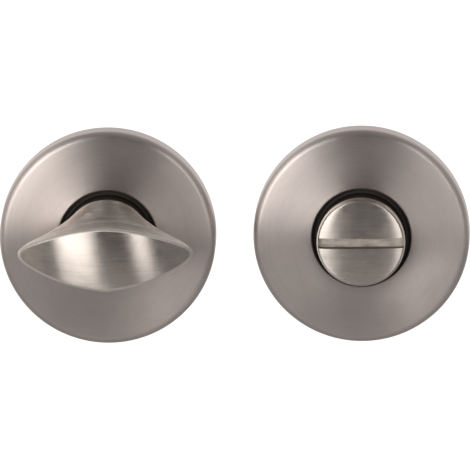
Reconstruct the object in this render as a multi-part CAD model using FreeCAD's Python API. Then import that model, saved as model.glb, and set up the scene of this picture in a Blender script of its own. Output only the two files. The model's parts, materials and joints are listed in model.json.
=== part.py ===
import FreeCAD, Part
import math
import os
from FreeCAD import Vector

os.makedirs("parts", exist_ok=True)

# Bathroom thumb turn lock: an inside half with a thumb turn and an outside half with a
# coin-slot release, side by side on the face of a door. The door face is the plane Y = 0,
# both fronts face -Y, +Z is up. "depth" below is the distance in front of the door face.

# Driving sizes, mm
ROSE_DIAMETER = 52.0      # outside of each round cover
ROSE_HEIGHT = 7.3         # front of the cover at its centre hole
SHEET = 1.2               # wall of the pressed cover
SHOULDER_RADIUS = 1.9     # round between side wall and face of the cover
CROWN_RADIUS = 35.5       # shallow round just inside the shoulder
CROWN_TILT = 7.0          # slope of the face where the shoulder ends, degrees
SPINDLE_SIZE = 8.0        # square spindle, across flats
JOURNAL_WALL = 2.85       # steel round the spindle's corners
COLLAR_WALL = 2.0         # guide ring collar round the journal
HOLE_MARGIN = 1.35        # dark gap between collar and the cover's hole
HALF_GAP = 9.0            # between the two covers as laid out
FIXING_INSET = 7.0        # fixing centre to the cover's edge
SCREW_DIAMETER = 4.0
SPINDLE_REACH = 52.0      # spindle length behind the door face
SCREW_REACH = 41.0        # fixing screw length behind the door face
SLEEVE_REACH = 32.0       # threaded sleeve length behind the door face
TURN_LENGTH = 42.6        # tip to tip of the thumb turn
TURN_HEIGHT = 15.5        # height of its blade at the middle
TURN_PROJECTION = 32.2    # front of the thumb turn above the door
TURN_FACE_RADIUS = 32.0   # bulge of the front face seen from above
TURN_CROWN_RADIUS = 30.0  # bulge of the front face seen from the side
TURN_EDGE_RADIUS = 0.7    # soft edge round the front face
DISC_EDGE_DEPTH = 13.8    # rim of the release disc's face
DISC_DOME_RADIUS = 45.0
COIN_SLOT_WIDTH = 2.5
COIN_SLOT_DEPTH = 2.9     # below the crown of the disc

# Clearances, mm
PLATE_CLEARANCE = 0.15    # plate edge to cover wall, radial
RUNNING = 0.06            # journal in guide ring, radial
FRONT_GAP = 0.3           # guide ring front to the turning part
WEB_GAP = 0.1             # stop washer to the plate web
SPIGOT_FIT = 0.03         # guide ring spigot in the plate, radial
SQUARE_FIT = 0.05         # spindle in its square hole, each side
SCREW_CLEARANCE = 0.2     # screw in the plate hole, radial
SOCKET_FIT = 0.1          # square socket over a spindle, each side
STOP_SLACK = 1.5          # free angle beyond each end of the quarter turn, degrees

# Sizes that follow
ROSE_RADIUS = ROSE_DIAMETER / 2
JOURNAL_RADIUS = SPINDLE_SIZE * math.sqrt(2) / 2 + JOURNAL_WALL
NECK_RADIUS = JOURNAL_RADIUS + COLLAR_WALL
NECK_DIAMETER = 2 * NECK_RADIUS
HOLE_RADIUS = NECK_RADIUS + HOLE_MARGIN
HALF_SPACING = ROSE_DIAMETER + HALF_GAP
FIXING_X = ROSE_RADIUS - FIXING_INSET
COVER_INNER = ROSE_HEIGHT - SHEET
PLATE_RADIUS = ROSE_RADIUS - SHEET - PLATE_CLEARANCE
PLATE_DEPTH = 0.55 * ROSE_HEIGHT
RECESS_DEPTH = PLATE_DEPTH - 1.4
RECESS_RADIUS = JOURNAL_RADIUS + 3.2
SPIGOT_RADIUS = JOURNAL_RADIUS + 1.9
FLANGE_RADIUS = JOURNAL_RADIUS + 5.5
FLANGE_DEPTH = COVER_INNER - 0.3
RING_DEPTH = 10.9
SHOULDER_DEPTH = RING_DEPTH + FRONT_GAP
GROOVE_DEPTH = 0.5 * PLATE_DEPTH
SNAP_WIRE = 1.0
SNAP_RADIUS = PLATE_RADIUS - 0.15
STOP_OUTER = RECESS_RADIUS + 3.0
STOP_TAB_ANGLE = 20.0
STOP_FRONT = RECESS_DEPTH - WEB_GAP
STOP_THICKNESS = 0.7
POCKET_START = 32.0       # lightening pockets leave this much beside each fixing, degrees
CLIP_GAP = 18.0           # opening of the retaining clip, degrees
WAVE_HEIGHT = 0.45
CLIP_THICKNESS = 0.6
CLIP_FRONT = STOP_FRONT - STOP_THICKNESS - WAVE_HEIGHT
CLIP_INNER = JOURNAL_RADIUS - 0.6
FLAT_HALF = JOURNAL_RADIUS - 1.0
JOURNAL_END = 0.15
SQUARE_DEPTH = 9.8
SCREW_RADIUS = SCREW_DIAMETER / 2
SCREW_HEAD_RADIUS = 1.95 * SCREW_RADIUS
SCREW_SHANK = 0.875 * SCREW_RADIUS
SLEEVE_RADIUS = 1.65 * SCREW_RADIUS
SLEEVE_HEAD_FLATS = 4.0 * SCREW_RADIUS
SLEEVE_HEAD_DEPTH = 0.6 * SCREW_RADIUS
SLEEVE_BORE = 0.825 * SCREW_RADIUS
SOCKET_RADIUS = 0.5 * SPINDLE_SIZE * math.sqrt(2) + 1.0
TURN_SPIGOT = JOURNAL_RADIUS - 1.5
SPIGOT_END = SHOULDER_DEPTH + 4.5
PIN_RADIUS = 1.25
PIN_DEPTH = 0.6 * RING_DEPTH

AXIS = Vector(0, 1, 0)
ORIGIN = Vector(0, 0, 0)


def at(radius, depth):
    """Point of a turned profile."""
    return Vector(radius, -depth, 0)


def turned(steps):
    """Solid of revolution about Y from points, or (middle, end) pairs for arcs."""
    edges = []
    last = steps[0]
    for step in steps[1:] + [steps[0]]:
        if isinstance(step, tuple):
            edges.append(Part.Arc(last, step[0], step[1]).toShape())
            last = step[1]
        elif (step - last).Length > 1e-7:
            edges.append(Part.makeLine(last, step))
            last = step
    return Part.Face(Part.Wire(edges)).revolve(ORIGIN, AXIS, 360)


def arc_about(centre_r, centre_d, radius, start, end):
    """Middle and end point of an arc, angles in degrees from outward towards the front."""
    mid = math.radians((start + end) / 2)
    fin = math.radians(end)
    return (at(centre_r + radius * math.cos(mid), centre_d + radius * math.sin(mid)),
            at(centre_r + radius * math.cos(fin), centre_d + radius * math.sin(fin)))


def rod(x, z, radius, depth_front, depth_back):
    """Cylinder along Y."""
    return Part.makeCylinder(radius, depth_front - depth_back, Vector(x, -depth_front, z), AXIS)


def square_bar(width, depth_front, depth_back):
    """Square bar along Y on the centre line."""
    half = width / 2
    return Part.makeBox(width, depth_front - depth_back, width, Vector(-half, -depth_front, -half))


def hex_bar(x, flats, depth_front, depth_back):
    """Hexagonal bar along Y."""
    r = flats / math.sqrt(3)
    pts = [Vector(x + r * math.cos(math.radians(60 * k + 30)), -depth_front,
                  r * math.sin(math.radians(60 * k + 30))) for k in range(6)]
    face = Part.Face(Part.makePolygon(pts + [pts[0]]))
    return face.extrude(Vector(0, depth_front - depth_back, 0))


def sector(r_in, r_out, a_start, a_end, depth_front, depth_back):
    """Part of a flat ring, angles in degrees from +X towards +Z."""
    def p(r, a):
        return Vector(r * math.cos(math.radians(a)), -depth_front, r * math.sin(math.radians(a)))
    mid = (a_start + a_end) / 2
    wire = Part.Wire([
        Part.makeLine(p(r_in, a_start), p(r_out, a_start)),
        Part.Arc(p(r_out, a_start), p(r_out, mid), p(r_out, a_end)).toShape(),
        Part.makeLine(p(r_out, a_end), p(r_in, a_end)),
        Part.Arc(p(r_in, a_end), p(r_in, mid), p(r_in, a_start)).toShape()])
    return Part.Face(wire).extrude(Vector(0, depth_front - depth_back, 0))


def save(name, shape, x=0.0):
    """Place a piece and write its file."""
    shape = shape.removeSplitter() if hasattr(shape, "removeSplitter") else shape
    if shape.ShapeType == "Compound" and len(shape.Solids) == 1:
        shape = shape.Solids[0]
    shape.translate(Vector(x, 0, 0))
    if not shape.isValid():
        raise ValueError(name + " is not a valid solid")
    shape.exportStep("parts/" + name + ".step")
    print(name, len(shape.Solids), round(shape.Volume, 2))


# Round cover, pressed from sheet
def rose_cover():
    tilt = math.radians(CROWN_TILT)
    crown_r = ROSE_RADIUS - SHOULDER_RADIUS + SHOULDER_RADIUS * math.sin(tilt)
    flat_r = crown_r - CROWN_RADIUS * math.sin(tilt)
    rise = CROWN_RADIUS * (1 - math.cos(tilt))
    round_d = ROSE_HEIGHT - rise - SHOULDER_RADIUS * math.cos(tilt)
    round_r = ROSE_RADIUS - SHOULDER_RADIUS
    crown_d = ROSE_HEIGHT - CROWN_RADIUS
    lip = 0.35
    inner = ROSE_RADIUS - SHEET
    groove_half = 0.5 * SNAP_WIRE + 0.05
    return turned([
        at(ROSE_RADIUS - 0.25, 0),
        at(ROSE_RADIUS, 0.25),
        at(ROSE_RADIUS, round_d),
        arc_about(round_r, round_d, SHOULDER_RADIUS, 0, 90 - CROWN_TILT),
        arc_about(flat_r, crown_d, CROWN_RADIUS, 90 - CROWN_TILT, 90),
        at(HOLE_RADIUS + lip, ROSE_HEIGHT),
        arc_about(HOLE_RADIUS + lip, ROSE_HEIGHT - lip, lip, 90, 180),
        at(HOLE_RADIUS, COVER_INNER),
        at(flat_r, COVER_INNER),
        arc_about(flat_r, crown_d, CROWN_RADIUS - SHEET, 90, 90 - CROWN_TILT),
        arc_about(round_r, round_d, SHOULDER_RADIUS - SHEET, 90 - CROWN_TILT, 0),
        at(inner, GROOVE_DEPTH + groove_half + 0.2),
        at(inner + 0.3, GROOVE_DEPTH + groove_half - 0.1),
        at(inner + 0.3, GROOVE_DEPTH - groove_half + 0.1),
        at(inner, GROOVE_DEPTH - groove_half - 0.2),
        at(inner, 0)])


# Base plate, moulded, with a snap groove, a support rim, a recess and its stop pocket
def base_plate():
    groove_half = 0.5 * SNAP_WIRE + 0.08
    rim_out = PLATE_RADIUS - 1.3
    rim_in = rim_out - 1.4
    rim_d = COVER_INNER - 0.45
    groove_r = SNAP_RADIUS - 0.5 * SNAP_WIRE - 0.1
    plate = turned([
        at(SPIGOT_RADIUS + SPIGOT_FIT, PLATE_DEPTH),
        at(rim_in, PLATE_DEPTH),
        at(rim_in, rim_d),
        at(rim_out, rim_d),
        at(rim_out, PLATE_DEPTH),
        at(PLATE_RADIUS - 0.4, PLATE_DEPTH),
        at(PLATE_RADIUS, PLATE_DEPTH - 0.4),
        at(PLATE_RADIUS, GROOVE_DEPTH + groove_half),
        at(groove_r, GROOVE_DEPTH + groove_half),
        at(groove_r, GROOVE_DEPTH - groove_half),
        at(PLATE_RADIUS, GROOVE_DEPTH - groove_half),
        at(PLATE_RADIUS, 0),
        at(RECESS_RADIUS, 0),
        at(RECESS_RADIUS, RECESS_DEPTH),
        at(SPIGOT_RADIUS + SPIGOT_FIT, RECESS_DEPTH)])
    half = 45 + STOP_TAB_ANGLE / 2 + STOP_SLACK
    plate = plate.cut(sector(RECESS_RADIUS - 1, STOP_OUTER + 0.5, 90 - half, 90 + half,
                             RECESS_DEPTH, -1))
    pocket_in = STOP_OUTER + 2.0
    pocket_out = PLATE_RADIUS - 3.2
    rib = 4.0
    span = (180 - 2 * POCKET_START - rib) / 2
    for start in (POCKET_START, 90 + rib / 2, 180 + POCKET_START, 270 + rib / 2):
        plate = plate.cut(sector(pocket_in, pocket_out, start, start + span, PLATE_DEPTH - 1.4, -1))
    plate = plate.cut(sector(RECESS_RADIUS + 1.4, pocket_in - 1.2, 180 + POCKET_START,
                             360 - POCKET_START, PLATE_DEPTH - 1.4, -1))
    return plate


# Guide ring, black, seen inside the cover's hole
def guide_ring():
    return turned([
        at(JOURNAL_RADIUS + RUNNING, RECESS_DEPTH + 0.02),
        at(SPIGOT_RADIUS, RECESS_DEPTH + 0.02),
        at(SPIGOT_RADIUS, PLATE_DEPTH),
        at(FLANGE_RADIUS, PLATE_DEPTH),
        at(FLANGE_RADIUS, FLANGE_DEPTH - 0.3),
        at(FLANGE_RADIUS - 0.3, FLANGE_DEPTH),
        at(NECK_RADIUS, FLANGE_DEPTH),
        at(NECK_RADIUS, RING_DEPTH - 0.3),
        at(NECK_RADIUS - 0.3, RING_DEPTH),
        at(JOURNAL_RADIUS + RUNNING, RING_DEPTH)])


# Snap ring, a sprung wire with a gap, between plate groove and cover groove
def snap_ring():
    circle = Part.makeCircle(SNAP_WIRE / 2, at(SNAP_RADIUS, GROOVE_DEPTH), Vector(0, 0, 1))
    ring = Part.Face(Part.Wire(circle)).revolve(ORIGIN, AXIS, 336)
    ring.rotate(ORIGIN, AXIS, 102)
    return ring


# Steel journal of a turning part: shank, clip groove and two flats, and in front either
# a spigot for the thumb turn or a bore for the release disc's stub
def journal(spigot):
    r = JOURNAL_RADIUS
    top = [at(0, SHOULDER_DEPTH), at(r, SHOULDER_DEPTH)]
    if spigot:
        top = [at(0, SPIGOT_END),
               at(TURN_SPIGOT - 0.4, SPIGOT_END),
               at(TURN_SPIGOT, SPIGOT_END - 0.4),
               at(TURN_SPIGOT, SHOULDER_DEPTH),
               at(r, SHOULDER_DEPTH)]
    body = turned(top + [
        at(r, CLIP_FRONT + 0.04),
        at(CLIP_INNER - 0.03, CLIP_FRONT + 0.04),
        at(CLIP_INNER - 0.03, CLIP_FRONT - CLIP_THICKNESS - 0.04),
        at(r, CLIP_FRONT - CLIP_THICKNESS - 0.04),
        at(r, JOURNAL_END + 0.2),
        at(r - 0.2, JOURNAL_END),
        at(0, JOURNAL_END)])
    for side in (-1, 1):
        x = FLAT_HALF if side > 0 else -FLAT_HALF - 4
        body = body.cut(Part.makeBox(4, STOP_FRONT + 1, 3 * r, Vector(x, -STOP_FRONT, -1.5 * r)))
    if not spigot:
        return body.cut(rod(0, 0, SOCKET_RADIUS, SHOULDER_DEPTH + 1, -1))
    body = body.cut(square_bar(SPINDLE_SIZE + 2 * SQUARE_FIT, SQUARE_DEPTH, -1))
    return body.cut(Part.makeCylinder(PIN_RADIUS, 4 * r, Vector(0, -PIN_DEPTH, -2 * r),
                                      Vector(0, 0, 1)))


def almond_points(width, height, blend):
    """Closed section between an ellipse (blend 0) and an almond with blunt tips (blend 1)."""
    crest = 0.08
    pts = []
    count = 56
    for k in range(count):
        t = 2 * math.pi * k / count + math.pi / 2
        angle = t - 0.3 * math.sin(2 * t)
        c, s = math.cos(angle), math.sin(angle)
        fall = (math.hypot(c, crest) - crest) / (math.hypot(1, crest) - crest)
        z = math.copysign(math.sqrt(max(0.0, 1 - fall)), s)
        pts.append((width / 2 * c, height / 2 * ((1 - blend) * s + blend * z)))
    return pts


# Thumb turn: round neck flaring to an almond blade with a bulged front face
def thumb_turn():
    neck_d = SHOULDER_DEPTH + 0.4
    blade_d = 0.71 * TURN_PROJECTION
    soft = 0.09
    count = 56
    knots = [k / count for k in range(count + 1)]
    wires = []
    rows = 22
    for row in range(rows):
        depth = SHOULDER_DEPTH + (TURN_PROJECTION + 2.0 - SHOULDER_DEPTH) * row / (rows - 1)
        u = max(0.0, (depth - neck_d) / (blade_d - neck_d))
        v = 1 - soft * math.log(1 + math.exp(min(30.0, (1 - u) / soft)))
        v = min(1.0, max(0.0, v))
        width = NECK_DIAMETER + (TURN_LENGTH - NECK_DIAMETER) * v ** 1.03
        height = NECK_DIAMETER - (NECK_DIAMETER - TURN_HEIGHT) * (1 - (1 - v) ** 2.05)
        pts = [Vector(x, -depth, z) for x, z in almond_points(width, height, v ** 1.45)]
        curve = Part.BSplineCurve()
        curve.interpolate(Points=pts, PeriodicFlag=True, Parameters=knots)
        wires.append(Part.Wire(curve.toShape()))
    blade = Part.makeLoft(wires, True, False)
    if blade.Volume < 0:
        blade.reverse()
    # front face: an arc in the upright middle plane turned about an upright axis
    axis_y = -(TURN_PROJECTION - TURN_FACE_RADIUS)
    reach = 0.55 * NECK_DIAMETER + 1.0
    drop = TURN_CROWN_RADIUS - math.sqrt(TURN_CROWN_RADIUS ** 2 - reach ** 2)
    top = Vector(0, axis_y - TURN_FACE_RADIUS + drop, reach)
    low = Vector(0, axis_y - TURN_FACE_RADIUS + drop, -reach)
    front = Vector(0, axis_y - TURN_FACE_RADIUS, 0)
    profile = Part.Wire([
        Part.Arc(low, front, top).toShape(),
        Part.makeLine(top, Vector(0, axis_y, reach)),
        Part.makeLine(Vector(0, axis_y, reach), Vector(0, axis_y, -reach)),
        Part.makeLine(Vector(0, axis_y, -reach), low)])
    barrel = Part.Face(profile).revolve(Vector(0, axis_y, 0), Vector(0, 0, 1), 180)
    barrel.rotate(Vector(0, axis_y, 0), Vector(0, 0, 1), -90)
    blade = blade.common(barrel)
    limit = TURN_PROJECTION - TURN_FACE_RADIUS + math.sqrt(
        TURN_FACE_RADIUS ** 2 - (TURN_LENGTH / 2) ** 2) - 1.2
    edges = [e for e in blade.Edges if e.BoundBox.YMax < -limit and e.Length > 1.0]
    blade = blade.makeFillet(TURN_EDGE_RADIUS, edges)
    return blade.cut(rod(0, 0, TURN_SPIGOT, SPIGOT_END + 0.2, 0))


# Square spindle with chamfered ends and a cross hole
def spindle():
    bar = square_bar(SPINDLE_SIZE, SQUARE_DEPTH - 0.1, -SPINDLE_REACH)
    ends = [e for e in bar.Edges if e.BoundBox.YLength < 1e-6]
    bar = bar.makeChamfer(0.5, ends)
    pin = Part.makeCylinder(PIN_RADIUS, 20, Vector(0, -PIN_DEPTH, -10), Vector(0, 0, 1))
    return bar.cut(pin)


# Slotted spring pin that ties the spindle to the thumb turn
def cross_pin():
    half = JOURNAL_RADIUS - 0.3
    pin = Part.makeCylinder(PIN_RADIUS, 2 * half, Vector(0, -PIN_DEPTH, -half), Vector(0, 0, 1))
    ends = [e for e in pin.Edges if e.BoundBox.ZLength < 1e-6]
    pin = pin.makeChamfer(0.25, ends)
    bore = Part.makeCylinder(PIN_RADIUS * 0.55, 3 * half, Vector(0, -PIN_DEPTH, -1.5 * half),
                             Vector(0, 0, 1))
    slit = Part.makeBox(0.35, 3, 3 * half, Vector(-0.175, -PIN_DEPTH, -1.5 * half))
    return pin.cut(bore).cut(slit)


# Stop washer: double-flat hole on the journal, tab in the plate's pocket
def stop_washer(tab_angle):
    front, back = STOP_FRONT, STOP_FRONT - STOP_THICKNESS
    washer = rod(0, 0, RECESS_RADIUS - 0.6, front, back)
    tab = sector(RECESS_RADIUS - 3.0, STOP_OUTER, tab_angle - STOP_TAB_ANGLE / 2,
                 tab_angle + STOP_TAB_ANGLE / 2, front, back)
    hole = rod(0, 0, JOURNAL_RADIUS + 0.05, front + 1, back - 1)
    flats = Part.makeBox(2 * FLAT_HALF + 0.1, 6, 4 * JOURNAL_RADIUS,
                         Vector(-FLAT_HALF - 0.05, -front - 2, -2 * JOURNAL_RADIUS))
    return washer.fuse(tab).cut(hole.common(flats))


# Wave washer that takes up the end play
def wave_washer():
    thick = 0.2
    amp = (WAVE_HEIGHT - thick) / 2
    mid = CLIP_FRONT + WAVE_HEIGHT / 2
    count = 48
    curves = []
    for r in (JOURNAL_RADIUS + 0.12, RECESS_RADIUS - 0.9):
        pts = []
        for k in range(count):
            a = 2 * math.pi * k / count
            pts.append(Vector(r * math.cos(a), -mid - 0.97 * amp * math.cos(3 * a), r * math.sin(a)))
        curve = Part.BSplineCurve()
        curve.interpolate(Points=pts, PeriodicFlag=True,
                          Parameters=[k / count for k in range(count + 1)])
        curves.append(curve.toShape())
    sheet = Part.makeRuledSurface(curves[0], curves[1])
    sheet.translate(Vector(0, -thick / 2, 0))
    wave = sheet.extrude(Vector(0, thick, 0))
    wave = wave.Solids[0] if wave.Solids else Part.Solid(wave)
    if wave.Volume < 0:
        wave.reverse()
    return wave


# Retaining clip with a gap and two eyes
def circlip():
    front, back = CLIP_FRONT, CLIP_FRONT - CLIP_THICKNESS
    out_r = RECESS_RADIUS - 1.5
    ring = rod(0, -0.25, out_r - 0.1, front, back)
    eyes = []
    for side in (-1, 1):
        a = math.radians(90 + side * 15)
        x, z = (out_r - 0.25) * math.cos(a), (out_r - 0.25) * math.sin(a)
        eyes.append((x, z))
        ring = ring.fuse(rod(x, z, 1.15, front, back))
    ring = ring.cut(rod(0, 0, CLIP_INNER, front + 1, back - 1))
    for x, z in eyes:
        ring = ring.cut(rod(x, z, 0.5, front + 1, back - 1))
    return ring.cut(sector(1, RECESS_RADIUS + 1, 90 - CLIP_GAP / 2, 90 + CLIP_GAP / 2,
                           front + 1, back - 1))


# Countersunk fixing screw with a cross recess and a plain shank under its head
def fixing_screw(x):
    head = PLATE_DEPTH - 0.1
    cone = head - (SCREW_HEAD_RADIUS - SCREW_RADIUS)
    screw = turned([
        at(0, head),
        at(SCREW_HEAD_RADIUS - 0.1, head),
        at(SCREW_HEAD_RADIUS, head - 0.15),
        at(SCREW_SHANK, cone - 0.15 - (SCREW_RADIUS - SCREW_SHANK)),
        at(SCREW_SHANK, -0.8),
        at(SCREW_RADIUS, -1.05),
        at(SCREW_RADIUS, 0.6 - SCREW_REACH),
        at(SCREW_RADIUS - 0.6, -SCREW_REACH),
        at(0, -SCREW_REACH)])
    for w, l in ((0.9, 4.2), (4.2, 0.9)):
        screw = screw.cut(Part.makeBox(w, 1.6, l, Vector(-w / 2, -head - 0.1, -l / 2)))
    screw.translate(Vector(x, 0, 0))
    return screw


# Countersunk hole for a fixing screw
def screw_hole(x):
    clear = SCREW_RADIUS + SCREW_CLEARANCE
    top = SCREW_HEAD_RADIUS + SCREW_CLEARANCE
    hole = turned([
        at(0, PLATE_DEPTH + 1),
        at(top + 0.05, PLATE_DEPTH + 1),
        at(top + 0.05, PLATE_DEPTH - 0.1),
        at(clear, PLATE_DEPTH - 0.1 - (top + 0.05 - clear)),
        at(clear, -1),
        at(0, -1)])
    hole.translate(Vector(x, 0, 0))
    return hole


# Threaded sleeve with a hexagonal head
def threaded_sleeve(x):
    sleeve = hex_bar(x, SLEEVE_HEAD_FLATS, PLATE_DEPTH, PLATE_DEPTH - SLEEVE_HEAD_DEPTH)
    sleeve = sleeve.fuse(rod(x, 0, SLEEVE_RADIUS, PLATE_DEPTH - SLEEVE_HEAD_DEPTH, -SLEEVE_REACH))
    bore = rod(x, 0, SLEEVE_BORE, -SLEEVE_REACH / 8, -SLEEVE_REACH - 1)
    mouth = Part.makeCone(SLEEVE_BORE + 0.6, SLEEVE_BORE, 0.6,
                          Vector(x, SLEEVE_REACH, 0), Vector(0, -1, 0))
    return sleeve.cut(bore).cut(mouth)


# Release disc: domed face with a coin slot, and a stub pressed into its journal
def release_disc():
    rim = NECK_RADIUS - 0.35
    flange = SHOULDER_DEPTH + 0.8
    half = math.asin(rim / DISC_DOME_RADIUS)
    crown = DISC_EDGE_DEPTH + DISC_DOME_RADIUS * (1 - math.cos(half))
    centre = crown - DISC_DOME_RADIUS
    edge = 0.35
    in_r = rim - edge
    in_half = math.asin(in_r / DISC_DOME_RADIUS)
    in_d = centre + DISC_DOME_RADIUS * math.cos(in_half)
    mid = in_half / 2
    disc = turned([
        at(0, SHOULDER_DEPTH),
        at(NECK_RADIUS - 0.1, SHOULDER_DEPTH),
        at(NECK_RADIUS, SHOULDER_DEPTH + 0.1),
        at(NECK_RADIUS, flange - 0.15),
        at(NECK_RADIUS - 0.15, flange),
        at(rim, flange),
        at(rim, DISC_EDGE_DEPTH - edge),
        (at(rim - 0.3 * edge, in_d - 0.3 * edge), at(in_r, in_d)),
        (at(DISC_DOME_RADIUS * math.sin(mid), centre + DISC_DOME_RADIUS * math.cos(mid)),
         at(0, crown))])
    disc = disc.fuse(rod(0, 0, SOCKET_RADIUS, SHOULDER_DEPTH + 0.3, SQUARE_DEPTH + 0.1))
    floor = crown - COIN_SLOT_DEPTH
    slot = Part.makeBox(3 * NECK_RADIUS, 10, COIN_SLOT_WIDTH,
                        Vector(-1.5 * NECK_RADIUS, -floor - 10, -COIN_SLOT_WIDTH / 2))
    return disc.cut(slot)


# Square socket pressed into the release disc's journal
def square_socket():
    bush = rod(0, 0, SOCKET_RADIUS, SQUARE_DEPTH, JOURNAL_END + 0.2)
    return bush.cut(square_bar(SPINDLE_SIZE + 2 * SOCKET_FIT, SQUARE_DEPTH + 1, -1))


# Thumb turn half
turn_plate = base_plate()
for side in (-1, 1):
    turn_plate = turn_plate.cut(screw_hole(side * FIXING_X))
save("turn_rose_cover", rose_cover())
save("turn_base_plate", turn_plate)
save("turn_guide_ring", guide_ring())
save("turn_snap_ring", snap_ring())
save("thumb_turn", thumb_turn())
save("turn_journal", journal(True))
save("turn_spindle", spindle())
save("turn_cross_pin", cross_pin())
save("turn_stop_washer", stop_washer(135))
save("turn_wave_washer", wave_washer())
save("turn_circlip", circlip())
save("turn_screw_left", fixing_screw(-FIXING_X))
save("turn_screw_right", fixing_screw(FIXING_X))

# Release half
release_plate = base_plate()
for side in (-1, 1):
    release_plate = release_plate.cut(
        hex_bar(side * FIXING_X, SLEEVE_HEAD_FLATS + 0.2, PLATE_DEPTH + 1,
                PLATE_DEPTH - SLEEVE_HEAD_DEPTH))
    release_plate = release_plate.cut(
        rod(side * FIXING_X, 0, SLEEVE_RADIUS + 0.1, PLATE_DEPTH, -1))
save("release_rose_cover", rose_cover(), HALF_SPACING)
save("release_base_plate", release_plate, HALF_SPACING)
save("release_guide_ring", guide_ring(), HALF_SPACING)
save("release_snap_ring", snap_ring(), HALF_SPACING)
save("release_disc", release_disc(), HALF_SPACING)
save("release_journal", journal(False), HALF_SPACING)
save("release_socket", square_socket(), HALF_SPACING)
save("release_stop_washer", stop_washer(45), HALF_SPACING)
save("release_wave_washer", wave_washer(), HALF_SPACING)
save("release_circlip", circlip(), HALF_SPACING)
save("release_sleeve_left", threaded_sleeve(-FIXING_X), HALF_SPACING)
save("release_sleeve_right", threaded_sleeve(FIXING_X), HALF_SPACING)
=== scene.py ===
import json
import math

import bpy
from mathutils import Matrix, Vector

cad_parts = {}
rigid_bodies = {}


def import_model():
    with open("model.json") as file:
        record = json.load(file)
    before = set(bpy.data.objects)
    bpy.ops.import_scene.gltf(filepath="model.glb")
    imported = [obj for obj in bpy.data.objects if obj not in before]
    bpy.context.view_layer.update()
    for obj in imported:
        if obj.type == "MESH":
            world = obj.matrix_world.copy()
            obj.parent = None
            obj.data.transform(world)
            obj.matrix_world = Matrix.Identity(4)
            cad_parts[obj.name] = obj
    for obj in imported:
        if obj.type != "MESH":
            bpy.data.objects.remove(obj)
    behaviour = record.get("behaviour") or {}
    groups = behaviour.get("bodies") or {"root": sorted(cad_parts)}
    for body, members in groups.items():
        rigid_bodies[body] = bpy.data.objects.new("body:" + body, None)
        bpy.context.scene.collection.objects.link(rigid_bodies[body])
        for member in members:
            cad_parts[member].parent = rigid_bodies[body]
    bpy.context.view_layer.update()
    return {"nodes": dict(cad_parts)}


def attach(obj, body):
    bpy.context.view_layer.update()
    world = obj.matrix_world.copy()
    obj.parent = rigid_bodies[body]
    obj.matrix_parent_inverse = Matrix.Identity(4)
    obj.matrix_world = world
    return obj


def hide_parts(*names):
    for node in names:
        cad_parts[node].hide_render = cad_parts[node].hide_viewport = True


bpy.ops.object.select_all(action="SELECT")
bpy.ops.object.delete()
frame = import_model()


# The two round covers are pressed from sheet brass and plated like satin steel, brushed in
# circles round the centre hole. Each pushes over a black plate and is held by a sprung wire
# in the small groove inside its wall.
MM = 0.001
RELEASE_X = 61.0
HALVES = (("turn", 0.0), ("release", RELEASE_X))
LATHE_SIDES = 240
SMOOTH_BELOW = math.radians(32)
COVER_RADIUS = 26.0
COVER_SHEET = 1.2
BACK_EDGE = 0.25
CORNER_ROUND = 1.9
CORNER_DEPTH = 4.83
DISH_RADIUS = 62.0
DISH_START = 83.0
DISH_END = 86.7
HOLE_RADIUS = 11.857
LIP_ROUND = 0.35
LIP_DEPTH = 7.19
GROOVE_CUT = 0.3
GROOVE_BACK = 1.26
GROOVE_FRONT = 2.76


def bend(r, d, radius, start, end, steps):
    """Points of a round in a turned profile, degrees from outward towards the front."""
    turns = [math.radians(start + (end - start) * k / steps) for k in range(steps + 1)]
    return [(r + radius * math.cos(a), d + radius * math.sin(a)) for a in turns]


def turned_piece(name, x, profile, sides=LATHE_SIDES, capped=False):
    """One ring extruded along (radius, depth) points in mm, then closed.
    Capped pieces have each open end filled with one flat face."""
    r, d = profile[0]
    bpy.ops.object.select_all(action="DESELECT")
    bpy.ops.mesh.primitive_circle_add(
        vertices=sides, radius=r * MM, fill_type="NOTHING", calc_uvs=False,
        location=(x * MM, -d * MM, 0), rotation=(math.radians(90), 0, 0))
    piece = bpy.context.object
    piece.name = piece.data.name = name
    bpy.ops.object.transform_apply(location=True, rotation=True, scale=True)
    bpy.ops.object.mode_set(mode="EDIT")
    bpy.ops.mesh.select_all(action="SELECT")
    for next_r, next_d in profile[1:]:
        bpy.ops.mesh.extrude_region_move(TRANSFORM_OT_translate={
            "value": (0, (d - next_d) * MM, 0), "orient_type": "GLOBAL"})
        bpy.ops.transform.resize(value=(next_r / r, 1, next_r / r), orient_type="GLOBAL",
                                 center_override=(x * MM, -next_d * MM, 0))
        r, d = next_r, next_d
    bpy.ops.mesh.select_all(action="DESELECT")
    bpy.ops.mesh.select_non_manifold()
    if capped:
        bpy.ops.mesh.edge_face_add()
    else:
        bpy.ops.mesh.bridge_edge_loops()
    bpy.ops.mesh.select_all(action="SELECT")
    bpy.ops.mesh.normals_make_consistent(inside=False)
    bpy.ops.object.mode_set(mode="OBJECT")
    lay_circular_grain(piece, x, profile, sides)
    bpy.ops.object.shade_smooth_by_angle(angle=SMOOTH_BELOW)
    return piece


def lay_circular_grain(piece, x, profile, sides):
    """UV map of a turned piece: U along the profile, V round the axis, so that the brushing
    runs along V."""
    run = [0.0]
    for (r0, d0), (r1, d1) in zip(profile, profile[1:]):
        run.append(run[-1] + math.hypot(r1 - r0, d1 - d0))
    grain = piece.data.uv_layers.new(name="grain")
    for face in piece.data.polygons:
        middle = math.atan2(face.center.z, face.center.x - x * MM)
        for loop in face.loop_indices:
            corner = piece.data.loops[loop].vertex_index
            spot = piece.data.vertices[corner].co
            angle = math.atan2(spot.z, spot.x - x * MM)
            if angle - middle > math.pi:
                angle -= 2 * math.pi
            elif middle - angle > math.pi:
                angle += 2 * math.pi
            grain.data[loop].uv = (run[min(corner // sides, len(run) - 1)] / 10, angle)


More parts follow.
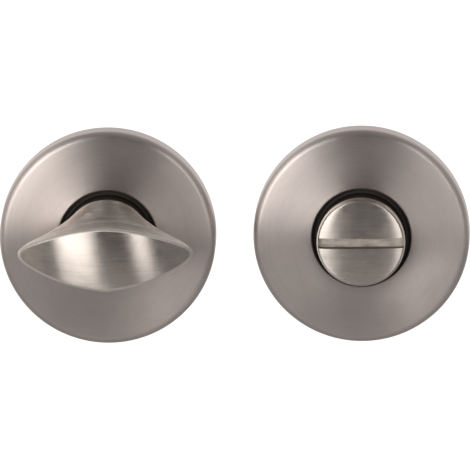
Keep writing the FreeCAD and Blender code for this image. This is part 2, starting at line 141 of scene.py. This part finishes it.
corner_r = COVER_RADIUS - CORNER_ROUND
dish_r = corner_r - (DISH_RADIUS - CORNER_ROUND) * math.cos(math.radians(DISH_START))
dish_d = CORNER_DEPTH - (DISH_RADIUS - CORNER_ROUND) * math.sin(math.radians(DISH_START))
inner_wall = COVER_RADIUS - COVER_SHEET


def cone_depth(r, behind=0.0):
    """Depth of the flat cone that the dish runs out into, or of its back side."""
    end = math.radians(DISH_END)
    end_r = dish_r + (DISH_RADIUS - behind) * math.cos(end)
    end_d = dish_d + (DISH_RADIUS - behind) * math.sin(end)
    return end_d + (end_r - r) / math.tan(end)


cover_profile = (
    [(COVER_RADIUS - BACK_EDGE, 0.0), (COVER_RADIUS, BACK_EDGE), (COVER_RADIUS, 0.6),
     (COVER_RADIUS, CORNER_DEPTH - 0.33)]
    + bend(corner_r, CORNER_DEPTH, CORNER_ROUND, 0, DISH_START, 16)
    + bend(dish_r, dish_d, DISH_RADIUS, DISH_START, DISH_END, 8)[1:]
    + [(16.3, cone_depth(16.3)), (12.6, cone_depth(12.6))]
    + bend(HOLE_RADIUS + LIP_ROUND, LIP_DEPTH, LIP_ROUND, DISH_END, 180, 7)
    + [(HOLE_RADIUS, cone_depth(HOLE_RADIUS, COVER_SHEET))]
    + bend(dish_r, dish_d, DISH_RADIUS - COVER_SHEET, DISH_END, DISH_START, 4)
    + bend(corner_r, CORNER_DEPTH, CORNER_ROUND - COVER_SHEET, DISH_START, 0, 6)[1:]
    + [(inner_wall, GROOVE_FRONT), (inner_wall + GROOVE_CUT, GROOVE_FRONT - GROOVE_CUT),
       (inner_wall + GROOVE_CUT, GROOVE_BACK + GROOVE_CUT), (inner_wall, GROOVE_BACK),
       (inner_wall, 0.0)])


def node(tree, kind, **settings):
    """New shader node, with socket values and settings given by their names."""
    made = tree.nodes.new(kind)
    for key, value in settings.items():
        if key in made.inputs:
            made.inputs[key].default_value = value
        else:
            setattr(made, key, value)
    return made


def math_node(tree, operation, first, second=0.0):
    """Output of a sum or product, where each input is an output socket or a number."""
    made = tree.nodes.new("ShaderNodeMath")
    made.operation = operation
    for socket, value in zip(made.inputs, (first, second)):
        if hasattr(value, "links"):
            tree.links.new(value, socket)
        else:
            socket.default_value = value
    return made.outputs[0]


def new_finish(name, metallic):
    """New material. Returns it with its node tree and its shader."""
    finish = bpy.data.materials.new(name)
    finish.use_nodes = True
    tree = finish.node_tree
    shader = tree.nodes["Principled BSDF"]
    shader.inputs["Metallic"].default_value = metallic
    return finish, tree, shader


def satin_metal(name, anisotropy):
    """Plated metal whose highlights spread across the brushing of the grain map."""
    finish, tree, shader = new_finish(name, 1.0)
    shader.inputs["Anisotropic"].default_value = anisotropy
    along = node(tree, "ShaderNodeTangent", direction_type="UV_MAP", uv_map="grain")
    tree.links.new(along.outputs["Tangent"], shader.inputs["Tangent"])
    return finish, tree, shader


def own_place(tree):
    """Place on the piece, in metres."""
    return node(tree, "ShaderNodeTexCoord").outputs["Object"]


def mapped(tree, vector, scale=(1, 1, 1), shift=(0, 0, 0)):
    made = node(tree, "ShaderNodeMapping", Scale=scale, Location=shift)
    tree.links.new(vector, made.inputs["Vector"])
    return made.outputs["Vector"]


def noise(tree, vector, scale, detail):
    made = node(tree, "ShaderNodeTexNoise", Scale=scale, Detail=detail, Roughness=0.65)
    tree.links.new(vector, made.inputs["Vector"])
    return made.outputs["Fac"]


def spread(tree, value, low, high):
    """The middle half of a noise stretched to run from low to high."""
    made = node(tree, "ShaderNodeMapRange")
    tree.links.new(value, made.inputs["Value"])
    made.inputs["From Min"].default_value = 0.25
    made.inputs["From Max"].default_value = 0.75
    made.inputs["To Min"].default_value = low
    made.inputs["To Max"].default_value = high
    return made.outputs["Result"]


def scaled_tone(tree, shader, tone, amount):
    """Base colour that is the tone times a slowly changing amount."""
    colour = node(tree, "ShaderNodeVectorMath", operation="SCALE")
    colour.inputs[0].default_value = tone
    tree.links.new(amount, colour.inputs["Scale"])
    tree.links.new(colour.outputs["Vector"], shader.inputs["Base Color"])


def fine_relief(tree, shader, height, strength, depth):
    relief = node(tree, "ShaderNodeBump", Strength=strength, Distance=depth)
    tree.links.new(height, relief.inputs["Height"])
    tree.links.new(relief.outputs["Normal"], shader.inputs["Normal"])


def brushed_finish(tree, shader, streaks, cloud, tone, rough, depth, contrast=0.1,
                   patches=0.05):
    """Colour, roughness and fine relief from the brushing lines and a slow cloud."""
    tint = math_node(tree, "MULTIPLY", spread(tree, streaks, 1 - contrast, 1 + contrast),
                     spread(tree, cloud, 1 - patches, 1 + patches))
    scaled_tone(tree, shader, tone, tint)
    lines = spread(tree, streaks, (1 - contrast) * rough, (1 + contrast) * rough)
    worn = spread(tree, cloud, 1 - 1.4 * patches, 1 + 1.4 * patches)
    tree.links.new(math_node(tree, "MULTIPLY", lines, worn), shader.inputs["Roughness"])
    fine_relief(tree, shader, streaks, 0.35, depth)


def circular_brushing(name, x, tone, rough, anisotropy):
    """Noise lines that run round the piece's axis: fine across them and slow along them."""
    finish, tree, shader = satin_metal(name, anisotropy)
    from_axis = mapped(tree, own_place(tree), shift=(-x * MM, 0, 0))
    parts = node(tree, "ShaderNodeSeparateXYZ")
    tree.links.new(from_axis, parts.inputs["Vector"])
    radius = math_node(tree, "SQRT", math_node(
        tree, "ADD", math_node(tree, "POWER", parts.outputs["X"], 2.0),
        math_node(tree, "POWER", parts.outputs["Z"], 2.0)))
    across = math_node(tree, "ADD", radius, parts.outputs["Y"])
    lines = node(tree, "ShaderNodeCombineXYZ")
    for socket, value, scale in (("X", across, 2100.0), ("Y", parts.outputs["X"], 170.0),
                                 ("Z", parts.outputs["Z"], 170.0)):
        tree.links.new(math_node(tree, "MULTIPLY", value, scale), lines.inputs[socket])
    streaks = noise(tree, lines.outputs["Vector"], 1.0, 4.0)
    cloud = noise(tree, from_axis, 110.0, 4.0)
    brushed_finish(tree, shader, streaks, cloud, tone, rough, depth=0.000008,
                   contrast=0.05, patches=0.05)
    return finish


for side, x in HALVES:
    cover = turned_piece(side + "_cover", x, cover_profile)
    cover.data.materials.append(circular_brushing(
        side + "_cover_metal", x, tone=(0.645, 0.565, 0.525), rough=0.38, anisotropy=0.82))
    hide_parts(side + "_rose_cover")
    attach(cover, "fixed")


# Black plastic guide rings, moulded. A flange sits behind the cover and the collar carries
# the steel journal, so they show as the dark gap round the turn and the disc. They are
# pressed into the plates.
RING_BORE = 8.57
RING_BACK = 2.64
SPIGOT_RADIUS = 10.4
FLANGE_RADIUS = 14.0
FLANGE_BACK = 4.015
FLANGE_FRONT = 5.8
COLLAR_RADIUS = 10.5
COLLAR_FRONT = 10.9
COLLAR_ROOT = 0.4
RING_EDGE = 0.3
ring_profile = (
    [(RING_BORE, RING_BACK), (SPIGOT_RADIUS, RING_BACK), (SPIGOT_RADIUS, FLANGE_BACK),
     (FLANGE_RADIUS, FLANGE_BACK), (FLANGE_RADIUS, FLANGE_FRONT - RING_EDGE),
     (FLANGE_RADIUS - RING_EDGE, FLANGE_FRONT), (COLLAR_RADIUS + 2 * COLLAR_ROOT, FLANGE_FRONT)]
    + bend(COLLAR_RADIUS + COLLAR_ROOT, FLANGE_FRONT + COLLAR_ROOT, COLLAR_ROOT, 270, 180, 5)
    + [(COLLAR_RADIUS, FLANGE_FRONT + 2 * COLLAR_ROOT), (COLLAR_RADIUS, COLLAR_FRONT - 0.4)]
    + bend(COLLAR_RADIUS - RING_EDGE, COLLAR_FRONT - RING_EDGE, RING_EDGE, 0, 90, 5)
    + [(RING_BORE + 0.33, COLLAR_FRONT), (RING_BORE, COLLAR_FRONT - RING_EDGE)])


def black_plastic(name, tone, rough, pore_scale):
    """Moulded plastic with fine pores and slightly uneven blackness."""
    finish, tree, shader = new_finish(name, 0.0)
    shader.inputs["Specular IOR Level"].default_value = 0.3
    place = own_place(tree)
    pores = noise(tree, place, pore_scale, 4.0)
    cloud = noise(tree, place, 160.0, 2.0)
    scaled_tone(tree, shader, tone, spread(tree, cloud, 0.8, 1.2))
    tree.links.new(spread(tree, pores, 0.85 * rough, 1.15 * rough), shader.inputs["Roughness"])
    fine_relief(tree, shader, pores, 0.4, 0.00004)
    return finish


ring_plastic = black_plastic("guide_ring_plastic", (0.024, 0.018, 0.013), 0.46, 900.0)
for side, x in HALVES:
    ring = turned_piece(side + "_ring", x, ring_profile)
    ring.data.materials.append(ring_plastic)
    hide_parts(side + "_guide_ring")
    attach(ring, "fixed")


# The thumb turn is a zinc casting, plated to match. A round neck runs out into an almond
# shaped blade whose front is bulged both ways and brushed from tip to tip. A blind bore in
# its back is pressed on the journal.
BORE_RADIUS = 7.01
BORE_FLOOR = 15.9
TURN_BACK = 11.2
TURN_FRONT = 32.2
TURN_LENGTH = 42.6
NECK_RADIUS = 10.507
BLADE_HALF_HEIGHT = 7.6
FLARE_START = TURN_BACK + 0.4
FLARE_END = 0.71 * TURN_FRONT
FLARE_SOFTNESS = 0.09
RIDGE_HEIGHT = 0.35
CREASE_HEIGHT = 0.26
CREASE_DEPTH = 23.2
CREASE_WIDTH = 0.34
FACE_ACROSS = 32.0
FACE_UPRIGHT = 30.0
EDGE_ROUND = 0.7
TURN_SIDES = 280
SIDE_ROWS = 90
EDGE_ROWS = 8
FACE_ROWS = 20
BRUSH_SLANT = math.radians(12)


def almond(c):
    """Half height of the blade's outline along its length, 1 in the middle and 0 at the tips."""
    return math.sqrt(max(0.0, 1 - c * c)) * (1 - 0.31 * (1 - (1 - abs(c) ** 2.2) ** 1.6))


def blade_outline(angle, depth):
    """Point of the section at one depth: round at the neck, almond shaped at the blade."""
    flare = max(0.0, (depth - FLARE_START) / (FLARE_END - FLARE_START))
    missing = math.log(1 + math.exp(min(30.0, (1 - flare) / FLARE_SOFTNESS)))
    grown = min(1.0, max(0.0, 1 - FLARE_SOFTNESS * missing))
    half_width = NECK_RADIUS + (TURN_LENGTH / 2 - NECK_RADIUS) * grown ** 1.03
    half_height = NECK_RADIUS - (NECK_RADIUS - BLADE_HALF_HEIGHT) * (1 - (1 - grown) ** 2.05)
    c, s = math.cos(angle), math.sin(angle)
    blend = grown ** 1.45
    ridge = RIDGE_HEIGHT * blend * math.exp(-(c / 0.13) ** 2) * (1.0 if s < 0 else 0.25)
    crease = (CREASE_HEIGHT * math.exp(-((depth - CREASE_DEPTH) / CREASE_WIDTH) ** 2)
              * (1 - c * c))
    z = (1 - blend) * half_height * abs(s) + blend * half_height * almond(c) + ridge + crease
    return half_width * c, math.copysign(z, s) if abs(s) > 1e-6 else 0.0


def blade_front(x, z):
    """Depth of the front face, which is bulged along the blade and up and down."""
    across = FACE_ACROSS - (FACE_UPRIGHT - math.sqrt(FACE_UPRIGHT ** 2 - z * z))
    return TURN_FRONT - FACE_ACROSS + math.sqrt(across * across - x * x)


def edge_inset(rim):
    """The rim moved inward by the edge's round, kept smooth where the ridge meets it."""
    inner = []
    for k, (x, z) in enumerate(rim):
        (x0, z0), (x1, z1) = rim[k - 1], rim[(k + 1) % TURN_SIDES]
        length = math.hypot(x1 - x0, z1 - z0)
        px = x - (z1 - z0) / length * EDGE_ROUND
        pz = z + (x1 - x0) / length * EDGE_ROUND
        along = min(1.0, abs(px) / (TURN_LENGTH / 2 - 0.5))
        smooth = (BLADE_HALF_HEIGHT - 0.5) * almond(along)
        keep = math.exp(-(px / 4.0) ** 2)
        high = max(0.0, abs(pz) if pz * z > 0 else 0.0)
        inner.append((px, math.copysign(min(high, smooth) * keep + high * (1 - keep), z)))
    return inner


def turn_rings():
    """Every ring of the thumb turn, from its bore over the blade to the middle of the face."""
    turns = [2 * math.pi * k / TURN_SIDES for k in range(TURN_SIDES)]
    angles = [t - 0.3 * math.sin(2 * t) for t in turns]
    rings = [[(r * math.cos(a), d, r * math.sin(a)) for a in angles]
             for r, d in ((BORE_RADIUS, BORE_FLOOR), (BORE_RADIUS, TURN_BACK),
                          (8.5, TURN_BACK), (NECK_RADIUS - 0.12, TURN_BACK))]
    rim = []
    side_ends = []
    for a in angles:
        depth = 25.0
        for _ in range(40):
            x, z = blade_outline(a, depth)
            depth = (depth + blade_front(x, z) - EDGE_ROUND) / 2
        rim.append((x, z))
        side_ends.append(depth)
    side_start = TURN_BACK + 0.06
    for row in range(SIDE_ROWS + 1):
        ring = []
        for a, side_end in zip(angles, side_ends):
            depth = side_start + (side_end - side_start) * row / SIDE_ROWS
            x, z = blade_outline(a, depth)
            ring.append((x, depth, z))
        rings.append(ring)
    inner = edge_inset(rim)
    for step in range(1, EDGE_ROWS + 1):
        fold = math.radians(90 * step / EDGE_ROWS)
        share = 1 - math.cos(fold)
        drop = EDGE_ROUND * (1 - math.sin(fold))
        ring = []
        for (x, z), (x2, z2) in zip(rim, inner):
            px, pz = x + (x2 - x) * share, z + (z2 - z) * share
            ring.append((px, blade_front(px, pz) - drop, pz))
        rings.append(ring)
    last = rings[-1]
    for step in range(1, FACE_ROWS + 1):
        keep = 1 - step / FACE_ROWS
        rings.append([(x, blade_front(x, z * keep), z * keep) for x, _, z in last])
    return rings


rings = turn_rings()
bpy.ops.object.select_all(action="DESELECT")
bpy.ops.mesh.primitive_circle_add(vertices=TURN_SIDES, radius=BORE_RADIUS * MM,
                                  fill_type="NOTHING", calc_uvs=False)
blade = bpy.context.object
blade.name = blade.data.name = "thumb_blade"
bpy.ops.object.mode_set(mode="EDIT")
bpy.ops.mesh.select_all(action="SELECT")
for ring in rings[1:]:
    bpy.ops.mesh.extrude_region_move(TRANSFORM_OT_translate={"value": (0, 0, 0)})
bpy.ops.object.mode_set(mode="OBJECT")
for corner, (x, d, z) in zip(blade.data.vertices, [p for ring in rings for p in ring]):
    corner.co = (x * MM, -d * MM, z * MM)

# The grain map runs along the blade on its face, at a slight slant, and round it on its
# sides. The rows of the edge between them get a lighter tone: a painted highlight on the rim.
GRAIN_SCALE = 100
HIGHLIGHT_ROWS = 6
first_face_ring = len(rings) - FACE_ROWS - 1
grain = blade.data.uv_layers.new(name="grain")
for face in blade.data.polygons:
    low = min(c // TURN_SIDES for c in face.vertices)
    # Rows just behind the face's edge take material 1, the painted highlight.
    if first_face_ring - HIGHLIGHT_ROWS <= low < first_face_ring:
        face.material_index = 1
    for loop in face.loop_indices:
        corner = blade.data.loops[loop].vertex_index
        spot = blade.data.vertices[corner].co * GRAIN_SCALE
        if low >= first_face_ring:
            across = spot.z * math.cos(BRUSH_SLANT) - spot.x * math.sin(BRUSH_SLANT)
            along = spot.x * math.cos(BRUSH_SLANT) + spot.z * math.sin(BRUSH_SLANT)
            grain.data[loop].uv = (across, along)
        else:
            around = corner % TURN_SIDES
            if around == 0 and any(c % TURN_SIDES == TURN_SIDES - 1 for c in face.vertices):
                around = TURN_SIDES
            grain.data[loop].uv = (-spot.y, around / 40)
bpy.ops.object.mode_set(mode="EDIT")
bpy.ops.mesh.select_all(action="SELECT")
bpy.ops.mesh.remove_doubles(threshold=0.000001)
bpy.ops.mesh.dissolve_degenerate(threshold=0.0000002)
bpy.ops.mesh.select_all(action="DESELECT")
bpy.ops.mesh.select_non_manifold()
bpy.ops.mesh.edge_face_add()
bpy.ops.mesh.select_all(action="SELECT")
bpy.ops.mesh.normals_make_consistent(inside=False)
bpy.ops.object.mode_set(mode="OBJECT")
bpy.ops.object.shade_smooth_by_angle(angle=SMOOTH_BELOW)


def straight_brushing(name, x, tone, rough, anisotropy):
    """Noise lines that run level across the piece, with cloudy patches."""
    finish, tree, shader = satin_metal(name, anisotropy)
    place = own_place(tree)
    stretched = mapped(tree, place, scale=(150.0, 500.0, 1900.0), shift=(-x * 0.12, 0, 0))
    streaks = noise(tree, stretched, 1.0, 4.0)
    cloud = noise(tree, place, 260.0, 4.0)
    brushed_finish(tree, shader, streaks, cloud, tone, rough, depth=0.000012,
                   contrast=0.15, patches=0.13)
    return finish


def painted_highlight_edge(name, tone, rough):
    """A lighter, rougher plating tone for the blade's rim: a painted highlight along its edge."""
    finish, tree, shader = new_finish(name, 1.0)
    place = own_place(tree)
    streaks = noise(tree, place, 2400.0, 3.0)
    cloud = noise(tree, place, 400.0, 3.0)
    brushed_finish(tree, shader, streaks, cloud, tone, rough, depth=0.000005,
                   contrast=0.06, patches=0.06)
    return finish


blade.data.materials.append(straight_brushing(
    "thumb_turn_metal", 0.0, tone=(0.68, 0.605, 0.543), rough=0.34, anisotropy=0.97))
# The second material is the rim's painted highlight.
blade.data.materials.append(painted_highlight_edge(
    "painted_highlight_edge_metal", tone=(0.84, 0.765, 0.70), rough=0.5))
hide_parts("thumb_turn")
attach(blade, "turn")


# The release disc is turned from the same metal: a low dome with a slot for a coin right
# across it, brushed along the slot. A stub behind it is pressed into the journal.
STUB_RADIUS = 6.657
STUB_BACK = 9.9
DISC_BACK = 11.2
DISC_RADIUS = 10.62
DOME_RADIUS = 9.978
DOME_FRONT = 14.961
DOME_EDGE_DEPTH = 13.711
DOME_EDGE_ROUND = 0.3
RIM_FRONT = 13.45
SLOT_HALF = 1.25
SLOT_FLOOR = 12.061
SLOT_REACH = 10.277
DOME_RINGS = (9.9, 9.75, 9.6, 9.4, 9.2, 9.0, 8.7, 8.4, 8.0, 7.5, 7.0, 6.4, 5.8, 5.2, 4.6,
              4.0, 3.4, 2.8, 2.2, 1.6, 1.0, 0.5, 0.08)


def dome_depth(r):
    """The dome is nearly flat in the middle and falls off fast close to its edge."""
    return DOME_FRONT - r * r / 112 - 0.0538 * (r / 10) ** 13


disc_profile = (
    [(6.0, STUB_BACK), (STUB_RADIUS, STUB_BACK), (STUB_RADIUS, DISC_BACK), (10.3, DISC_BACK),
     (DISC_RADIUS - 0.1, DISC_BACK), (DISC_RADIUS, DISC_BACK + 0.1), (DISC_RADIUS, 12.2),
     (DISC_RADIUS, RIM_FRONT - 0.12), (DISC_RADIUS - 0.04, RIM_FRONT - 0.03),
     (DISC_RADIUS - 0.12, RIM_FRONT), (10.32, RIM_FRONT), (SLOT_REACH, RIM_FRONT + 0.03)]
    + bend(DOME_RADIUS, DOME_EDGE_DEPTH, DOME_EDGE_ROUND, 0, 76.2, 7)
    + [(r, dome_depth(r)) for r in DOME_RINGS])
disc = turned_piece("slotted_disc", RELEASE_X, disc_profile, capped=True)
bpy.ops.object.mode_set(mode="EDIT")
for wall in (-SLOT_HALF, SLOT_HALF):
    bpy.ops.mesh.select_all(action="SELECT")
    bpy.ops.mesh.bisect(plane_co=(0, 0, wall * MM), plane_no=(0, 0, 1), threshold=0.0000001)
bpy.ops.mesh.select_all(action="DESELECT")
bpy.ops.mesh.select_mode(type="FACE")
bpy.ops.object.mode_set(mode="OBJECT")


def over_slot(spot):
    """True for a place on the dome between the slot's walls, in mm."""
    return (abs(spot.z) < SLOT_HALF + 0.002 and -spot.y > RIM_FRONT - 0.01
            and math.hypot(spot.x - RELEASE_X, spot.z) < SLOT_REACH + 0.01)


for face in disc.data.polygons:
    face.select = all(over_slot(disc.data.vertices[c].co / MM) for c in face.vertices)
bpy.ops.object.mode_set(mode="EDIT")
bpy.ops.mesh.delete(type="FACE")
bpy.ops.mesh.select_mode(type="EDGE")
bpy.ops.mesh.select_all(action="DESELECT")
bpy.ops.mesh.select_non_manifold()
bpy.ops.mesh.extrude_region_move(TRANSFORM_OT_translate={"value": (0, 0, 0)})
bpy.ops.transform.resize(value=(1, 0, 1), orient_type="GLOBAL",
                         center_override=(0, -SLOT_FLOOR * MM, 0))
bpy.ops.mesh.edge_face_add()
bpy.ops.mesh.select_all(action="SELECT")
bpy.ops.mesh.normals_make_consistent(inside=False)
bpy.ops.object.mode_set(mode="OBJECT")
bpy.ops.object.shade_smooth_by_angle(angle=SMOOTH_BELOW)
grain = disc.data.uv_layers["grain"]
for face in disc.data.polygons:
    if face.normal.y < -0.5:
        for loop in face.loop_indices:
            spot = disc.data.vertices[disc.data.loops[loop].vertex_index].co * GRAIN_SCALE
            grain.data[loop].uv = (spot.z, spot.x)


def milled_slot(name, tone, rough, metallic):
    """Cut faces: no brushing, only the cutter's fine marks along the slot."""
    finish, tree, shader = new_finish(name, metallic)
    place = own_place(tree)
    marks = noise(tree, mapped(tree, place, scale=(300.0, 1200.0, 1500.0)), 1.0, 3.0)
    cloud = noise(tree, place, 420.0, 3.0)
    brushed_finish(tree, shader, marks, cloud, tone, rough, depth=0.00003, contrast=0.2,
                   patches=0.16)
    return finish


disc.data.materials.append(straight_brushing(
    "release_disc_metal", RELEASE_X, tone=(0.68, 0.605, 0.543), rough=0.33, anisotropy=0.97))
disc.data.materials.append(milled_slot(
    "milled_slot_metal", tone=(0.73, 0.645, 0.565), rough=0.5, metallic=1.0))
# The slot's side walls get a dark, only partly metallic tone: painted shade inside the slot.
disc.data.materials.append(milled_slot(
    "slot_wall_painted_shade_metal", tone=(0.16, 0.135, 0.115), rough=0.6, metallic=0.4))
# Slot floor faces take the milled finish, and the side walls take the painted shade.
for face in disc.data.polygons:
    middle = face.center / MM
    if (abs(middle.z) < SLOT_HALF + 0.01 and -middle.y > SLOT_FLOOR - 0.01
            and math.hypot(middle.x - RELEASE_X, middle.z) < SLOT_REACH - 0.003):
        face.material_index = 2 if abs(face.normal.z) > 0.7 else 1
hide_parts("release_disc")
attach(disc, "release")


# Behind the covers: moulded black plates, bright zinc plated screws, sleeves, spindle and
# socket, bare turned journals, and dark spring steel clips, washers, wires and cross pin.
def plain_steel(name, tone, rough, stretch, depth):
    """Steel with fine marks that run the long way of the stretch."""
    finish, tree, shader = new_finish(name, 1.0)
    place = own_place(tree)
    streaks = noise(tree, mapped(tree, place, scale=stretch), 1.0, 4.0)
    cloud = noise(tree, place, 220.0, 3.0)
    brushed_finish(tree, shader, streaks, cloud, tone, rough, depth)
    return finish


plate_plastic = black_plastic("plate_plastic", (0.045, 0.045, 0.045), 0.55, 1400.0)
zinc_plating = plain_steel("zinc_plating", (0.66, 0.67, 0.69), 0.30, (900, 120, 900), 0.000012)
turned_steel = plain_steel("turned_steel", (0.50, 0.50, 0.50), 0.34, (150, 2600, 150), 0.000012)
dark_spring = plain_steel("dark_spring_steel", (0.13, 0.13, 0.14), 0.42, (900, 900, 900), 0.00001)
hidden_pieces = (
    (plate_plastic, ("turn_base_plate", "release_base_plate")),
    (zinc_plating, ("turn_spindle", "turn_screw_left", "turn_screw_right", "release_socket",
                    "release_sleeve_left", "release_sleeve_right")),
    (turned_steel, ("turn_journal", "release_journal")),
    (dark_spring, ("turn_snap_ring", "turn_cross_pin", "turn_stop_washer",
                   "turn_wave_washer", "turn_circlip", "release_snap_ring",
                   "release_stop_washer", "release_wave_washer", "release_circlip")))
for finish, names in hidden_pieces:
    for name in names:
        materials = frame["nodes"][name].data.materials
        materials.clear()
        materials.append(finish)


# The studio: a pale floor well below, a large soft lamp to the left, a narrow one to the
# right, weak cards at both sides and below, a dim room on the camera's side and a white
# backdrop behind the object.
FLOOR_HEIGHT = -0.45
STUDIO_CENTRE = Vector((0.03, 0, 0))


def backdrop_share(tree, place, far):
    """1 for what the camera sees, and for reflections of what lies behind the object."""
    path = node(tree, "ShaderNodeLightPath")
    parts = node(tree, "ShaderNodeSeparateXYZ")
    tree.links.new(place, parts.inputs["Vector"])
    behind = node(tree, "ShaderNodeMapRange")
    behind.inputs["From Min"].default_value = 0.0
    behind.inputs["From Max"].default_value = far
    tree.links.new(parts.outputs["Y"], behind.inputs["Value"])
    high = node(tree, "ShaderNodeMapRange")
    high.inputs["From Min"].default_value = 0.95
    high.inputs["From Max"].default_value = 0.6
    tree.links.new(parts.outputs["Z"], high.inputs["Value"])
    seen = math_node(tree, "MULTIPLY", behind.outputs["Result"], high.outputs["Result"])
    bent = math_node(tree, "ADD", path.outputs["Is Glossy Ray"],
                     path.outputs["Is Transmission Ray"])
    return math_node(tree, "MAXIMUM", path.outputs["Is Camera Ray"],
                     math_node(tree, "MULTIPLY", bent, seen))


bpy.ops.object.select_all(action="DESELECT")
bpy.ops.mesh.primitive_plane_add(size=8, location=(0, 0, FLOOR_HEIGHT))
floor = bpy.context.object
floor.name = "floor"
pale, tree, matt = new_finish("floor_pale", 0.0)
matt.inputs["Base Color"].default_value = (0.33, 0.33, 0.33, 1)
matt.inputs["Roughness"].default_value = 0.9
matt.inputs["Specular IOR Level"].default_value = 0.1
matt.inputs["Emission Color"].default_value = (1, 1, 1, 1)
place = node(tree, "ShaderNodeNewGeometry")
share = backdrop_share(tree, place.outputs["Position"], 1.9)
tree.links.new(math_node(tree, "MULTIPLY", share, 0.95), matt.inputs["Emission Strength"])
floor.data.materials.append(pale)

studio = bpy.data.worlds.new("studio")
bpy.context.scene.world = studio
studio.use_nodes = True
tree = studio.node_tree
facing = node(tree, "ShaderNodeTexCoord")
share = backdrop_share(tree, facing.outputs["Generated"], 0.9)
parts = node(tree, "ShaderNodeSeparateXYZ")
tree.links.new(facing.outputs["Generated"], parts.inputs["Vector"])
shade = node(tree, "ShaderNodeMapRange")
tree.links.new(parts.outputs["Y"], shade.inputs["Value"])
shade.inputs["From Min"].default_value = -0.85
shade.inputs["From Max"].default_value = -0.15
shade.inputs["To Min"].default_value = 0.078
shade.inputs["To Max"].default_value = 0.28
path = node(tree, "ShaderNodeLightPath")
soft = math_node(tree, "MULTIPLY", path.outputs["Is Diffuse Ray"], 0.33)
room = tree.nodes["Background"]
tree.links.new(math_node(tree, "ADD", shade.outputs["Result"], soft), room.inputs["Color"])
white = node(tree, "ShaderNodeBackground")
white.inputs["Color"].default_value = (1, 1, 1, 1)
mix = node(tree, "ShaderNodeMixShader")
tree.links.new(share, mix.inputs["Fac"])
tree.links.new(room.outputs["Background"], mix.inputs[1])
tree.links.new(white.outputs["Background"], mix.inputs[2])
tree.links.new(mix.outputs["Shader"], tree.nodes["World Output"].inputs["Surface"])


def direction(azimuth, elevation):
    """Unit vector away from the object; azimuth from the front (-Y) towards +X, in degrees."""
    az, el = math.radians(azimuth), math.radians(elevation)
    return Vector((math.sin(az) * math.cos(el), -math.cos(az) * math.cos(el), math.sin(el)))


def stand_facing(name, data, target, way, distance):
    """Lamp or camera that stands off the target and faces it."""
    stand = bpy.data.objects.new(name, data)
    bpy.context.scene.collection.objects.link(stand)
    stand.location = target + way * distance
    stand.rotation_euler = (-way).to_track_quat("-Z", "Y").to_euler()
    return stand


def soft_lamp(name, azimuth, elevation, distance, size, power, tint=(1, 1, 1)):
    lamp = bpy.data.lights.new(name, "AREA")
    lamp.shape = "RECTANGLE"
    lamp.size, lamp.size_y = size
    lamp.energy = power
    lamp.color = tint
    stand_facing(name, lamp, STUDIO_CENTRE, direction(azimuth, elevation), distance)


soft_lamp("left_lamp", azimuth=-30.7, elevation=12.2, distance=1.6, size=(0.883, 1.145), power=10.6)
soft_lamp("right_lamp", azimuth=26.2, elevation=9.5, distance=0.8, size=(0.195, 0.60), power=0.87)
soft_lamp("side_card", azimuth=-74, elevation=6, distance=1.0, size=(0.5, 0.8), power=0.27,
          tint=(1, 0.92, 0.8))
soft_lamp("right_card", azimuth=60, elevation=0, distance=1.0, size=(0.5, 0.8), power=0.07)
soft_lamp("low_lamp", azimuth=0, elevation=-46, distance=0.58, size=(0.7, 0.26), power=0.16)

eye = bpy.data.cameras.new("camera")
eye.sensor_width = 36
eye.lens = 1145.4
eye.clip_end = 20
camera = stand_facing("camera", eye, target=Vector((0.03045, 0, -0.00074)),
                      way=direction(azimuth=1.6, elevation=12.0), distance=3.6)
camera.rotation_euler.rotate_axis("Z", math.radians(-0.73))
bpy.context.scene.camera = camera

bpy.context.scene.view_settings.view_transform = "Standard"
